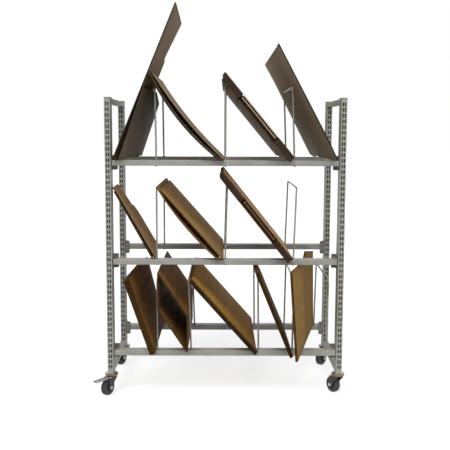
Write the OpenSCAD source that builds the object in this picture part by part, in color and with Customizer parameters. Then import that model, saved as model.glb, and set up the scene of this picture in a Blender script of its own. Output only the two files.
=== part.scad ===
// Trolley that holds flattened cartons and sheets on edge between wire hoops.
// X runs to the right, Y to the back and Z up. The front posts' front faces lie in one plane.

/* [Frame] */
// Width over the outer sides of the posts
rack_w = 1080; // [900:10:1400]
// Depth over the front and rear faces of the posts
rack_d = 550; // [450:10:800]
// Width of a post's narrow slotted face
post_w = 27; // [24:1:40]
// Depth of a post's wide side
post_d = 70; // [60:1:90]
// Length of a post
post_h = 1258; // [1200:1:1500]
// Wall of the post tube
post_wall = 2; // [1.5:0.5:3]
// Outer corner radius of the post tube
post_corner = 3; // [2.5:0.5:5]
// Height of the rail that joins two post tops
rail_h = 25; // [20:1:40]
// Height of the rail that joins two post feet
foot_rail_h = 30; // [20:1:50]
// Thickness of the lid on a post's open top
cap_t = 4; // [2:0.5:6]

/* [Slots] */
// Distance between two slots of a column
slot_pitch = 25; // [20:1:40]
// Height of a slot
slot_h = 14.5; // [10:0.5:18]
// Width of a slot
slot_w = 3.6; // [3.6:0.1:4]
// Distance between the two columns of a narrow face
slot_gap = 10; // [8:0.5:14]
// Height of the lowest slot's middle above the post's foot
slot_start = 33; // [20:1:60]
// Least metal left above the highest slot's middle
slot_top = 20; // [15:1:40]

/* [Beams] */
// Depth of a beam
beam_d = 50; // [40:1:60]
// Height of a beam
beam_h = 25; // [20:1:40]
// Wall of a beam
beam_wall = 1.5; // [1:0.5:3]
// Setback of a beam behind the posts' outer narrow face
beam_inset = 12; // [4:1:16]
// Slot row just under the middle of the low beams
low_row = 2; // [2:1:4]
// Slot row just under the middle of the mid beams
mid_row = 19; // [18:1:21]
// Slot row just under the middle of the top beams
top_row = 37; // [36:1:40]

/* [Brackets] */
// Thickness of a bracket's sheet
bracket_t = 3; // [2:0.5:4]
// Height of a bracket
bracket_h = 66; // [60:1:80]
// Reach of a bracket's plate from the post
bracket_reach = 24; // [20:1:40]
// Corner radius of a bracket's plate
bracket_corner = 6; // [3:1:10]
// Diameter of the two holes in a bracket's plate
bracket_hole_d = 6; // [4:0.5:8]
// Distance of those holes from the bracket's middle
bracket_hole_z = 24; // [20:1:28]
// Length of a hook behind the post's wall
hook_l = 7; // [5:1:10]
// Thickness of a hook
hook_t = 2.6; // [2:0.1:3]
// Height of a hook's neck
hook_h = 9; // [6:1:12]

/* [Hoops] */
// Diameter of the hoop wire
rod_d = 8; // [6:0.5:12]
// Height of a hoop above the beams
hoop_h = 330; // [200:1:420]
// Radius of a hoop's two bends, to the wire's middle
hoop_bend = 18; // [12:1:40]
// Distance between two hoop holes of a beam
hole_pitch = 156; // [120:1:170]
// Number of hoop holes on either side of a beam's middle one
hole_side = 3; // [3:1:4]
// Play of the wire in its hole, on the radius
hole_play = 0.8; // [0.7:0.1:1.2]
// Length of wire that shows under a beam
rod_stub = 5; // [2:0.5:12]
// Diameter of the pressed collar that stops a hoop's leg
collar_d = 11; // [11:0.5:16]
// Height of that collar
collar_h = 2.5; // [1.5:0.5:4]

/* [Castors] */
// Height from the floor to a post's foot
castor_h = 102; // [95:1:140]
// Diameter of a wheel
wheel_d = 75; // [60:1:80]
// Width of a tyre
tyre_w = 25; // [20:1:30]
// Diameter of a hub under its tyre
hub_d = 50; // [40:1:56]
// Distance of the wheel's axle behind the swivel axis
trail = 30; // [28:1:45]
// Diameter of the swivel's stem
stem_d = 12; // [10:1:16]
// Diameter of the ring round the swivel's balls
ring_d = 62; // [58:1:66]
// Height of that ring
ring_h = 11; // [8:1:13]
// Thickness of the plate over that ring
plate_h = 4; // [3:0.5:6]
// Thickness of the fork's cheeks and crown
fork_t = 3; // [2:0.5:4]
// Gap from a tyre's side to the fork's cheek
cheek_gap = 4; // [2:0.5:6]
// Diameter of a wheel's axle bolt
axle_d = 8; // [6:1:10]
// Running play of stem and axle, on the radius
turn_play = 0.06; // [0.03:0.01:0.1]
// Length of a brake pedal from its pivot to its tip
pedal_l = 92; // [70:1:100]
// Width of a brake pedal
pedal_w = 27; // [24:1:30]
// Direction in which each castor trails, from +X: front left, front right, rear left, rear right
trail_angle = [-121, 123.5, -119, -130];

/* [Cardboard] */
// Thickness of one sheet of corrugated board
board_t = 5; // [3:0.5:7]
// Gap between a sheet and what it touches
board_gap = 0.4; // [0.3:0.05:0.8]
// Overhang of the sheets in front of the posts
board_front = 50; // [20:1:80]
// Length and depth of the tall sheet at the top left
tall_size = [739, 566]; // [200:1:1200]
// Length and depth of the short sheet under it
short_size = [300, 672]; // [200:1:1200]
// Length and depth of the flattened cartons at the top
cartons_top_size = [474, 1060]; // [200:1:1200]
// Length and depth of the wide sheet at the top right
wide_size = [569, 1100]; // [200:1:1200]
// Length and depth of the torn sheet at the middle left
mid_left_size = [375, 404]; // [200:1:1200]
// Length and depth of the flattened cartons in the middle
cartons_mid_size = [495, 490]; // [200:1:1200]
// Length and depth of the stack at the low left
stack_size = [360, 590]; // [200:1:1200]
// Length and depth of the long sheets below
long_size = [441, 640]; // [200:1:1200]
// Length and depth of the bundle at the low right
bundle_size = [418, 520]; // [200:1:1200]
// Length and depth of the turned carton beside it
turned_size = [396, 688]; // [200:1:1200]

/* [Hidden] */
$fn = 48;

// Place of the rack's middle and front plane in the trolley's own frame
place_x = 26;
place_y = -429;

paint = [0.66, 0.66, 0.62];
wire = [0.56, 0.56, 0.52];
zinc = [0.82, 0.83, 0.84];
copper = [0.72, 0.45, 0.28];
black = [0.1, 0.1, 0.11];
kraft = [0.58, 0.46, 0.33];

EPS = 0.01;
post_z = castor_h;
post_top = post_z + post_h;
slot_count = floor((post_h - slot_start - slot_top) / slot_pitch) + 1;
inner_x = rack_w / 2 - post_w;
stem_y = post_d / 2;
beam_l = 2 * (inner_x - bracket_t);
front_y = beam_inset;
rear_y = rack_d - beam_inset - beam_d;
front_leg = front_y + beam_d / 2;
rear_leg = rear_y + beam_d / 2;
side_slot_y = beam_inset + beam_d / 2;

// Middle height of the beams that hang between two slot rows
function beam_mid(row) = post_z + slot_start + slot_pitch * (row + 0.5);
function beam_top(row) = beam_mid(row) + beam_h / 2;

module placed() {
    translate([place_x, place_y, 0]) children();
}

// Puts a left-hand piece also on the right, or at the rear, as a mirror image
module at_side(right) {
    mirror([right ? 1 : 0, 0, 0]) children();
}

module at_rear(rear) {
    if (rear) translate([0, rack_d, 0]) mirror([0, 1, 0]) children();
    else children();
}

module each_corner() {
    for (right = [false, true], rear = [false, true]) at_side(right) at_rear(rear) children();
}

module rounded_rect(size, r) {
    square([size.x, size.y - 2 * r], center = true);
    square([size.x - 2 * r, size.y], center = true);
    for (i = [-1, 1], j = [-1, 1])
        translate([i * (size.x / 2 - r), j * (size.y / 2 - r)]) circle(r, $fn = 24);
}

module tube_2d(size, wall, r) {
    difference() {
        rounded_rect(size, r);
        rounded_rect([size.x - 2 * wall, size.y - 2 * wall], max(r - wall, 0.4));
    }
}

// One slotted wall strip, lying in the XY plane with its length along Y
module slot_strip(width, columns) {
    linear_extrude(post_wall)
        difference() {
            translate([-width / 2, 0]) square([width, post_h]);
            for (c = columns, i = [0:slot_count - 1])
                translate([c, slot_start + slot_pitch * i]) square([slot_w, slot_h], center = true);
        }
}

// Post at the front left: two slot columns on each narrow face, one on the inner wide side
module post() {
    strip_w = post_w - 2 * post_corner;
    side_w = 12;
    side_y = side_slot_y - post_d / 2;
    translate([-rack_w / 2 + post_w / 2, post_d / 2, post_z]) {
        linear_extrude(post_h)
            difference() {
                tube_2d([post_w, post_d], post_wall, post_corner);
                for (j = [-1, 1])
                    translate([0, j * (post_d - post_wall) / 2])
                        square([strip_w, post_wall + 2 * EPS], center = true);
                translate([(post_w - post_wall) / 2, side_y])
                    square([post_wall + 2 * EPS, side_w], center = true);
            }
        for (j = [0, 1])
            translate([0, j == 0 ? -post_d / 2 + post_wall : post_d / 2, 0])
                rotate([90, 0, 0]) slot_strip(strip_w, [-slot_gap / 2, slot_gap / 2]);
        translate([post_w / 2 - post_wall, side_y, 0]) rotate([90, 0, 90]) slot_strip(side_w, [0]);
    }
}

module post_front_left() { color(paint) placed() post(); }
module post_front_right() { color(paint) placed() at_side(true) post(); }
module post_rear_left() { color(paint) placed() at_rear(true) post(); }
module post_rear_right() { color(paint) placed() at_side(true) at_rear(true) post(); }

// Rail between a front post and the rear post behind it
module side_rail(h, z) {
    translate([-rack_w / 2 + post_w / 2, post_d, z + h / 2])
        rotate([-90, 0, 0])
            linear_extrude(rack_d - 2 * post_d) tube_2d([post_w, h], post_wall, post_corner);
}

module top_rails() {
    color(paint) placed() for (right = [false, true]) at_side(right) side_rail(rail_h, post_top - rail_h);
}

module foot_rails() {
    color(paint) placed() for (right = [false, true]) at_side(right) side_rail(foot_rail_h, post_z);
}

// Lid with a plug that fills the post's open end
module post_caps() {
    plug = 10;
    play = 0.3;
    color([0.45, 0.45, 0.43]) placed() each_corner()
        translate([-rack_w / 2 + post_w / 2, post_d / 2, post_top]) {
            linear_extrude(cap_t) rounded_rect([post_w, post_d], post_corner);
            translate([0, 0, -plug])
                linear_extrude(plug)
                    rounded_rect([post_w - 2 * (post_wall + play), post_d - 2 * (post_wall + play)], 1);
        }
}

// Block welded into a post's foot, which takes the castor's stem
socket_h = 28;
module foot_sockets() {
    play = 0.3;
    color(zinc) placed() each_corner()
        translate([-rack_w / 2 + post_w / 2, stem_y, post_z])
            difference() {
                linear_extrude(socket_h)
                    rounded_rect([post_w - 2 * (post_wall + play), post_d - 2 * (post_wall + play)], 1);
                translate([0, 0, -1]) cylinder(d = stem_d + 2 * turn_play, h = socket_h + 2);
            }
}

// Bracket at the front left end of a front beam: flange on the post, plate behind the beam, two hooks
module bracket() {
    plate_y = front_y + beam_d;
    flange_y = side_slot_y - 15;
    x0 = -inner_x;
    difference() {
        union() {
            translate([x0, flange_y, -bracket_h / 2])
                cube([bracket_t, plate_y + bracket_t - flange_y, bracket_h]);
            translate([x0, plate_y + bracket_t, 0])
                rotate([90, 0, 0])
                    linear_extrude(bracket_t)
                        translate([0, -bracket_h / 2]) {
                            square([bracket_reach - bracket_corner, bracket_h]);
                            translate([0, bracket_corner])
                                square([bracket_reach, bracket_h - 2 * bracket_corner]);
                            for (z = [bracket_corner, bracket_h - bracket_corner])
                                translate([bracket_reach - bracket_corner, z]) circle(bracket_corner);
                        }
            for (i = [-1, 1])
                translate([x0, side_slot_y - hook_t / 2, i * slot_pitch / 2]) {
                    translate([-hook_l, 0, -hook_h / 2]) cube([hook_l + EPS, hook_t, hook_h]);
                    translate([-hook_l, 0, -hook_h / 2 - 2])
                        cube([hook_l - post_wall - 0.6, hook_t, hook_h / 2]);
                }
        }
        for (i = [-1, 1])
            translate([x0 + bracket_reach - 12, plate_y - 1, i * bracket_hole_z])
                rotate([-90, 0, 0]) cylinder(d = bracket_hole_d, h = bracket_t + 2, $fn = 24);
    }
}

module beam_brackets() {
    color(paint) placed()
        for (row = [low_row, mid_row, top_row]) each_corner() translate([0, 0, beam_mid(row)]) bracket();
}

// Beam tube with its row of hoop holes, right through
module beam(row, rear) {
    hole_r = rod_d / 2 + hole_play;
    translate([0, (rear ? rear_y : front_y) + beam_d / 2, beam_mid(row)])
        difference() {
            rotate([90, 0, 90])
                translate([0, 0, -beam_l / 2])
                    linear_extrude(beam_l) tube_2d([beam_d, beam_h], beam_wall, 3);
            for (i = [-hole_side:hole_side])
                translate([i * hole_pitch, 0, -beam_h / 2 - 1])
                    cylinder(r = hole_r, h = beam_h + 2, $fn = 32);
        }
}

module beam_low_front() { color(paint) placed() beam(low_row, false); }
module beam_low_rear() { color(paint) placed() beam(low_row, true); }
module beam_mid_front() { color(paint) placed() beam(mid_row, false); }
module beam_mid_rear() { color(paint) placed() beam(mid_row, true); }
module beam_top_front() { color(paint) placed() beam(top_row, false); }
module beam_top_rear() { color(paint) placed() beam(top_row, true); }

// Wire hoop: a leg in the front beam, a leg in the rear beam, a bar between their tops
rod_r = rod_d / 2;
bar_z = beam_h / 2 + hoop_h - rod_r;
module hoop_wire() {
    leg_z = -beam_h / 2 - rod_stub;
    for (y = [front_leg, rear_leg]) {
        translate([0, y, leg_z]) cylinder(r = rod_r, h = bar_z - hoop_bend - leg_z);
        translate([0, y, beam_h / 2 + 0.4]) cylinder(d = collar_d, h = collar_h);
    }
    for (rear = [0, 1])
        translate([0, rear ? rear_leg - hoop_bend : front_leg + hoop_bend, bar_z - hoop_bend])
            rotate([0, -90, 0]) rotate([0, 0, rear ? 0 : -90])
                rotate_extrude(angle = 90) translate([hoop_bend, 0]) circle(rod_r, $fn = 24);
    translate([0, front_leg + hoop_bend, bar_z])
        rotate([-90, 0, 0]) cylinder(r = rod_r, h = rear_leg - front_leg - 2 * hoop_bend);
}

// A hoop in hole number hole, leaning to the right by lean degrees in its loose holes
module hoop(row, hole, lean) {
    color(wire) placed()
        translate([hole * hole_pitch, 0, beam_mid(row)]) rotate([0, lean, 0]) hoop_wire();
}

// Middle of a hoop's top bar, seen from the front
function bar_at(row, hole, lean) =
    [hole * hole_pitch + bar_z * sin(lean), beam_mid(row) + bar_z * cos(lean)];

lean_low_2 = -1.9;
lean_low_3 = -0.8;
lean_low_4 = 1;
lean_low_5 = 1.4;
lean_mid_2 = 1.4;
lean_mid_3 = 1.9;
lean_top_1 = -0.7;
lean_top_3 = -2.2;
module hoop_low_1() hoop(low_row, -2, 0);
module hoop_low_2() hoop(low_row, -1, lean_low_2);
module hoop_low_3() hoop(low_row, 1, lean_low_3);
module hoop_low_4() hoop(low_row, 2, lean_low_4);
module hoop_low_5() hoop(low_row, 3, lean_low_5);
module hoop_mid_1() hoop(mid_row, -2, 0);
module hoop_mid_2() hoop(mid_row, 0, lean_mid_2);
module hoop_mid_3() hoop(mid_row, 2, lean_mid_3);
module hoop_top_1() hoop(top_row, -2, lean_top_1);
module hoop_top_2() hoop(top_row, 0, 0);
module hoop_top_3() hoop(top_row, 2, lean_top_3);

// Castors. Each is drawn with its swivel axis on Z and its wheel trailing along +X
wheel_r = wheel_d / 2;
ring_top = castor_h - plate_h;
crown_top = ring_top - ring_h - 1.5;
crown_z = crown_top - fork_t;
// Brake pedal's pin, along and above the wheel
pivot = [28.5, crown_z - 3.5];
pivot_r = 2;
cheek_y = tyre_w / 2 + cheek_gap;
CORNERS = [[-1, 0], [1, 0], [-1, 1], [1, 1]];

module castor_frame(i) {
    translate([CORNERS[i].x * (rack_w / 2 - post_w / 2), CORNERS[i].y ? rack_d - stem_y : stem_y, 0])
        children();
}

module castor_turned(i) {
    castor_frame(i) rotate([0, 0, trail_angle[i]]) children();
}

// Stem with the domed plate under the post and the head that carries the fork's crown
module castor_stems() {
    head_d = stem_d + 10;
    color(zinc) placed() for (i = [0:3])
        castor_frame(i) {
            rotate_extrude()
                polygon([
                    [0, crown_z - 4], [head_d / 2, crown_z - 4], [head_d / 2, crown_z - 0.4],
                    [stem_d / 2, crown_z - 0.4], [stem_d / 2, ring_top - 3],
                    [ring_d / 2 - 12, ring_top - 3], [ring_d / 2 - 4, ring_top - 2],
                    [ring_d / 2 - 4, ring_top], [ring_d / 2 - 9, castor_h - 0.3],
                    [stem_d / 2, castor_h - 0.3], [stem_d / 2, castor_h + socket_h - 6],
                    [0, castor_h + socket_h - 6],
                ]);
        }
}

// Copper-coloured skirt that hangs round the ball race
module dust_rings() {
    color(copper) placed() for (i = [0:3])
        castor_frame(i)
            translate([0, 0, ring_top - ring_h])
                rotate_extrude()
                    polygon([
                        [ring_d / 2 - 5, 0], [ring_d / 2 - 3, 0], [ring_d / 2 - 0.5, ring_h * 0.35],
                        [ring_d / 2, ring_h * 0.6], [ring_d / 2 - 1.5, ring_h], [ring_d / 2 - 3.7, ring_h],
                        [ring_d / 2 - 3.7, ring_h * 0.8],
                    ]);
}

// Side view of a fork's cheek: wide under the crown, round about the axle
module cheek_2d() {
    eye_r = 13;
    polygon([
        [-17, crown_z + EPS], [pivot.x + 6, crown_z + EPS], [trail + 7, crown_z - 7],
        [trail + eye_r, wheel_r + 4],
        [trail + eye_r * cos(20), wheel_r - eye_r * sin(20)],
        [trail - eye_r * cos(40), wheel_r - eye_r * sin(40)],
        [2, crown_z - 22], [-15, crown_z - 7],
    ]);
    translate([trail, wheel_r]) circle(eye_r);
}

module fork(i) {
    race_r = ring_d / 2 - 9;
    castor_turned(i)
        difference() {
            union() {
                translate([0, 0, crown_z]) cylinder(r = race_r + 3, h = fork_t);
                translate([0, 0, crown_top - EPS])
                    rotate_extrude()
                        polygon([
                            [race_r - 3, 0], [race_r, 0],
                            [race_r - 1.5, ring_h * 0.6], [race_r - 3, ring_h * 0.6],
                        ]);
                for (s = [-1, 1])
                    translate([0, s * (cheek_y + fork_t / 2) + fork_t / 2, 0])
                        rotate([90, 0, 0]) linear_extrude(fork_t) cheek_2d();
            }
            translate([0, 0, crown_z - 1]) cylinder(r = stem_d / 2 + turn_play, h = ring_h + fork_t);
            translate([trail, 0, wheel_r])
                rotate([90, 0, 0]) cylinder(r = axle_d / 2 + turn_play, h = 4 * cheek_y, center = true);
            translate([pivot.x, 0, pivot.y])
                rotate([90, 0, 0]) cylinder(r = pivot_r + turn_play, h = 4 * cheek_y, center = true);
        }
}

module fork_front_left() { color(black) placed() fork(0); }
module fork_front_right() { color(black) placed() fork(1); }
module fork_rear_left() { color(black) placed() fork(2); }
module fork_rear_right() { color(black) placed() fork(3); }

// Axle bolt with its hexagon head and nut outside the cheeks
module axle(i) {
    outer = cheek_y + fork_t + 0.3;
    hex_r = 7.2;
    castor_turned(i)
        translate([trail, 0, wheel_r])
            rotate([90, 0, 0]) {
                cylinder(r = axle_d / 2, h = 2 * outer + 4, center = true);
                for (s = [0, 1])
                    mirror([0, 0, s]) translate([0, 0, outer]) cylinder(r = hex_r, h = 5, $fn = 6);
            }
}

module axle_front_left() { color(zinc) placed() axle(0); }
module axle_front_right() { color(zinc) placed() axle(1); }
module axle_rear_left() { color(zinc) placed() axle(2); }
module axle_rear_right() { color(zinc) placed() axle(3); }

// Wheel body: rim, thin web with ribs, boss with the axle's bore
module hub(i) {
    boss_r = 9;
    rim_t = 4;
    rim_w = tyre_w - 3;
    ribs = 6;
    castor_turned(i)
        translate([trail, 0, wheel_r])
            rotate([90, 0, 0])
                difference() {
                    union() {
                        rotate_extrude()
                            polygon([
                                [axle_d / 2 + 1, -cheek_y + 0.6], [boss_r, -cheek_y + 0.6],
                                [boss_r, -3], [hub_d / 2 - rim_t, -2],
                                [hub_d / 2 - rim_t, -rim_w / 2], [hub_d / 2, -rim_w / 2],
                                [hub_d / 2, rim_w / 2], [hub_d / 2 - rim_t, rim_w / 2],
                                [hub_d / 2 - rim_t, 2], [boss_r, 3],
                                [boss_r, cheek_y - 0.6], [axle_d / 2 + 1, cheek_y - 0.6],
                            ]);
                        for (k = [0:ribs - 1])
                            rotate([0, 0, 360 / ribs * k])
                                translate([boss_r - 1, -1, -8])
                                cube([hub_d / 2 - rim_t - boss_r + 2, 2, 16]);
                        cylinder(r = axle_d / 2 + 2, h = 2 * cheek_y - 1.2, center = true);
                    }
                    cylinder(r = axle_d / 2 + turn_play, h = 4 * cheek_y, center = true);
                }
}

module hub_front_left() { color([0.42, 0.42, 0.43]) placed() hub(0); }
module hub_front_right() { color([0.42, 0.42, 0.43]) placed() hub(1); }
module hub_rear_left() { color([0.42, 0.42, 0.43]) placed() hub(2); }
module hub_rear_right() { color([0.42, 0.42, 0.43]) placed() hub(3); }

// Rubber tyre with rounded shoulders, pressed over the hub's rim
module tyre(i) {
    inner = hub_d / 2 + 0.1;
    shoulder = 6;
    half = tyre_w / 2;
    castor_turned(i)
        translate([trail, 0, wheel_r])
            rotate([90, 0, 0])
                rotate_extrude($fn = 64) {
                    polygon([
                        [inner, -half + 1.5], [inner + 3, -half], [wheel_r - shoulder, -half],
                        [wheel_r - shoulder, -half + shoulder], [wheel_r, -half + shoulder],
                        [wheel_r, half - shoulder], [wheel_r - shoulder, half - shoulder],
                        [wheel_r - shoulder, half], [inner + 3, half], [inner, half - 1.5],
                    ]);
                    for (s = [-1, 1])
                        intersection() {
                            translate([wheel_r - shoulder, s * (half - shoulder)]) circle(shoulder);
                            translate([wheel_r - shoulder, s > 0 ? half - shoulder : -half])
                                square([shoulder, shoulder]);
                        }
                }
}

module tyre_front_left() { color(black) placed() tyre(0); }
module tyre_front_right() { color(black) placed() tyre(1); }
module tyre_rear_left() { color(black) placed() tyre(2); }
module tyre_rear_right() { color(black) placed() tyre(3); }

// Foot pedal of a braked castor: rolled eye on its pivot pin, turned-up sides, a slot near the tip
module brake_pedal(i) {
    sheet_t = 2;
    rise = 2;
    eye_r = pivot_r + 1.2;
    side_h = 4;
    slot = [20, 11];
    castor_turned(i)
        translate([pivot.x, 0, pivot.y])
            rotate([0, -rise, 0]) {
                rotate([90, 0, 0]) cylinder(r = pivot_r, h = 2 * (cheek_y + fork_t) + 2, center = true);
                rotate([90, 0, 0]) cylinder(r = eye_r, h = pedal_w + 1, center = true);
                difference() {
                    union() {
                        translate([1, -pedal_w / 2, -sheet_t / 2]) cube([pedal_l - 1, pedal_w, sheet_t]);
                        for (s = [-1, 1])
                            translate([8, s * (pedal_w / 2 - 1.3) - 1, -sheet_t / 4])
                                cube([pedal_l - 14, 2, side_h + sheet_t / 4]);
                    }
                    translate([pedal_l - 10 - slot.x, -slot.y / 2, -5]) cube([slot.x, slot.y, 10]);
                }
            }
}

module brake_pedal_front() { color(zinc) placed() brake_pedal(0); }
module brake_pedal_rear() { color(zinc) placed() brake_pedal(2); }

// Lean of a flat sheet whose underside stands at foot_x and rests on a hoop's bar
function rest_lean(foot_x, row, bar) =
    let (dx = foot_x - bar.x, dz = bar.y - beam_top(row) - board_gap, reach = norm([dx, dz]))
    acos((rod_r + board_gap) / reach) - atan2(dz, dx);

// Flat sheets with flush ends that stand on two beams and lean to the left (side = -1) or right (1).
// The lowest one's outer edge stands at foot_x. turn swings their rear ends to the right.
module flat_sheets(count, row, foot_x, lean, length, front, depth, side = -1, turn = 0) {
    step = board_t + board_gap;
    translate([foot_x, front, beam_top(row) + board_gap])
        rotate([0, 0, -turn])
            rotate([0, side * lean, 0])
                for (i = [0:count - 1])
                    translate([side < 0 ? i * step : -board_t - i * step, 0, 0])
                        cube([board_t, depth, length]);
}

// Lean of a sheet that stands at foot and passes board_gap beside the point p
function lean_beside(foot, p) =
    let (v = p - foot) abs(atan2(v.x, v.y)) - asin(board_gap / norm(v));

// Circle through two points whose arc between them sags by sag to the left of the way from a to b
function arc_radius(a, b, sag) = (norm(b - a) ^ 2 / 4 + sag ^ 2) / (2 * sag);
function left_of(a, b) = [-(b - a).y, (b - a).x] / norm(b - a);
function arc_centre(a, b, sag) = (a + b) / 2 + left_of(a, b) * (sag - arc_radius(a, b, sag));
function angle_of(v) = atan2(v.y, v.x);

// Direction, seen from the arc's centre, of a bent sheet's end that lies over past b
function bent_end(a, b, sag, over) =
    angle_of(b - arc_centre(a, b, sag)) - over / arc_radius(a, b, sag) * 180 / PI;

// Point of that end, inset from the outer face
function bent_tip(a, b, sag, over, inset) =
    let (t = bent_end(a, b, sag, over))
    arc_centre(a, b, sag) + (arc_radius(a, b, sag) - inset) * [cos(t), sin(t)];

// Bent sheet: its outer face runs from a through b, and past b by over; inset moves it to the inside
module bent_sheet(a, b, sag, over, inset, front, depth) {
    r = arc_radius(a, b, sag) - inset;
    c = arc_centre(a, b, sag);
    start = angle_of(a - c);
    turn = (start - bent_end(a, b, sag, over) + 360) % 360;
    steps = 16;
    ray = [for (i = [0:steps]) [cos(start - turn * i / steps), sin(start - turn * i / steps)]];
    outer = [for (i = [0:steps]) c + ray[i] * r];
    inner = [for (i = [steps:-1:0]) c + ray[i] * (r - board_t)];
    translate([0, front + depth, 0])
        rotate([90, 0, 0]) linear_extrude(depth) polygon(concat(outer, inner));
}

// Point beside a bar, at an angle from +X, that a sheet's face may touch
function on_bar(bar, angle) = bar + (rod_r + board_gap) * [cos(angle), sin(angle)];

// Top level
top_z = beam_top(top_row) + board_gap;
sheet_step = board_t + board_gap;
bent_foot = [-29, top_z];
bent_rest = on_bar(bar_at(top_row, -2, lean_top_1), 31);
bent_sag = 22;
bent_over = 61;
bent_front = -board_front + 24;
bent_depth = 650;
module sheets_top_bent() {
    third_foot = bent_foot + [18.5, 0];
    third_tip = bent_tip(bent_foot, bent_rest, bent_sag, bent_over - 4, 2 * sheet_step + 0.4);
    color(kraft) placed() {
        for (i = [0, 1])
            bent_sheet(bent_foot, bent_rest, bent_sag, bent_over - 3 * i, i * sheet_step,
                bent_front, bent_depth);
        bent_sheet(third_foot, third_tip, 17, 0, 0, bent_front, bent_depth);
    }
}

tall_foot = [bracket_reach - inner_x + 0.6 + board_t, top_z];
tall_lean = lean_beside(tall_foot, bent_tip(bent_foot, bent_rest, bent_sag, bent_over, 0));
module sheet_top_tall() {
    color(kraft) placed()
        flat_sheets(1, top_row, tall_foot.x, tall_lean, tall_size.x, bent_front, tall_size.y, 1);
}

module sheet_top_short() {
    short_lean = tall_lean - 1.6;
    short_foot = tall_foot.x + 15;
    color(kraft) placed()
        flat_sheets(1, top_row, short_foot, short_lean, short_size.x, bent_front, short_size.y, 1, 3.2);
}

cartons_top_foot = 2 * hole_pitch - 36;
module cartons_top() {
    lean = rest_lean(cartons_top_foot, top_row, bar_at(top_row, 0, 0));
    color(kraft) placed()
        flat_sheets(6, top_row, cartons_top_foot, lean, cartons_top_size.x,
            -board_front - 20, cartons_top_size.y, -1, 0.4);
}

wide_foot = inner_x - bracket_reach - 0.6 - sheet_step * cos(28);
module sheets_top_wide() {
    lean = rest_lean(wide_foot, top_row, bar_at(top_row, 2, lean_top_3));
    color(kraft) placed()
        flat_sheets(1, top_row, wide_foot, lean, wide_size.x, -board_front - 20, wide_size.y);
}

// Middle level
mid_z = beam_top(mid_row) + board_gap;
mid_left_foot = -2 * hole_pitch - rod_r - board_gap - 1 - board_t * cos(30);
mid_left_front = 24;
mid_left_turn = -2.5;
// Rear edge, torn back in two steps: [share of the length, share of the depth]
mid_left_tear = [[0.38, 1], [0.56, 0.98], [0.65, 0.89], [0.67, 0.76], [0.78, 0.72], [0.93, 0.65], [1, 0.54]];
under_shift = 12.6;
under_length = 350;
under_depth = 380;
module sheet_mid_left() {
    lean = asin((inner_x + mid_left_foot - 4) / mid_left_size.x);
    under_lean = lean - asin((under_shift * cos(lean) - board_t - board_gap) / under_length);
    edge = [for (p = mid_left_tear) [p.y * mid_left_size.y, p.x * mid_left_size.x]];
    color(kraft) placed() {
        translate([mid_left_foot, mid_left_front, mid_z])
            rotate([0, 0, -mid_left_turn])
                rotate([0, -lean, 0])
                    rotate([90, 0, 90])
                        linear_extrude(board_t)
                            polygon(concat([[0, mid_left_size.x], [0, 0], [mid_left_size.y, 0]], edge));
        flat_sheets(1, mid_row, mid_left_foot - under_shift, under_lean, under_length,
            mid_left_front, under_depth, -1, mid_left_turn);
    }
}

open_foot = [-31, mid_z];
open_rest = on_bar(bar_at(mid_row, -2, 0), 32);
open_sag = 16;
module carton_mid_open() {
    front = -board_front + 24;
    depth = 660;
    upper_foot = open_foot + [21.3, 0];
    upper_tip = bent_tip(open_foot, open_rest, open_sag, 0, sheet_step);
    color(kraft) placed() {
        bent_sheet(open_foot, open_rest, open_sag, 6, 0, front, depth);
        flat_sheets(1, mid_row, upper_foot.x, lean_beside(upper_foot, upper_tip),
            norm(upper_tip - upper_foot), front, depth);
    }
}

cartons_mid_foot = 2 * hole_pitch - 37;
module cartons_mid() {
    lean = rest_lean(cartons_mid_foot, mid_row, bar_at(mid_row, 0, lean_mid_2));
    color(kraft) placed()
        flat_sheets(6, mid_row, cartons_mid_foot, lean, cartons_mid_size.x,
            -board_front - 6, cartons_mid_size.y);
}

// Low level. The left stack's foot leans against the first hoop's legs
module stack_low_left() {
    count = 5;
    lean = 19.8;
    foot = -2 * hole_pitch - rod_r - 0.6 - (count * sheet_step) * cos(lean);
    color(kraft) placed()
        flat_sheets(count, low_row, foot, lean, stack_size.x, -board_front, stack_size.y);
}

// Flattened carton that has sprung open to a slanting sleeve between two hoops
sleeve_depth = 650;
sleeve_panel = 176;
module sleeve_low() {
    left = -2 * hole_pitch + rod_r + board_gap + 2;
    right = -hole_pitch - rod_r - 9;
    drop = 203;
    o = [right, beam_top(low_row) + board_gap];
    a = [0, sleeve_panel];
    b = [left - right, drop];
    area = abs(a.x * b.y - a.y * b.x);
    fa = board_t / (area / norm(b));
    fb = board_t / (area / norm(a));
    color(kraft) placed()
        translate([0, sleeve_depth - board_front, 0])
            rotate([90, 0, 0])
                linear_extrude(sleeve_depth)
                    difference() {
                        polygon([o, o + a, o + a + b, o + b]);
                        polygon([
                            o + fa * a + fb * b, o + (1 - fa) * a + fb * b,
                            o + (1 - fa) * a + (1 - fb) * b, o + fa * a + (1 - fb) * b,
                        ]);
                    }
}

long_foot = hole_pitch - 28;
module sheets_low_long() {
    lean = rest_lean(long_foot, low_row, bar_at(low_row, -1, lean_low_2));
    color(kraft) placed()
        flat_sheets(4, low_row, long_foot, lean, long_size.x, -board_front + 10, long_size.y);
}

bundle_foot = 2 * hole_pitch - 21;
module bundle_low() {
    lean = rest_lean(bundle_foot, low_row, bar_at(low_row, 1, lean_low_3));
    color(kraft) placed()
        flat_sheets(3, low_row, bundle_foot, lean, bundle_size.x, -board_front - 50, bundle_size.y);
}

module carton_low_tall() {
    foot = 2 * hole_pitch - 4;
    color(kraft) placed()
        flat_sheets(2, low_row, foot, 5.5, turned_size.x,
            -board_front - 125, turned_size.y, -1, 12.2);
}

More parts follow.
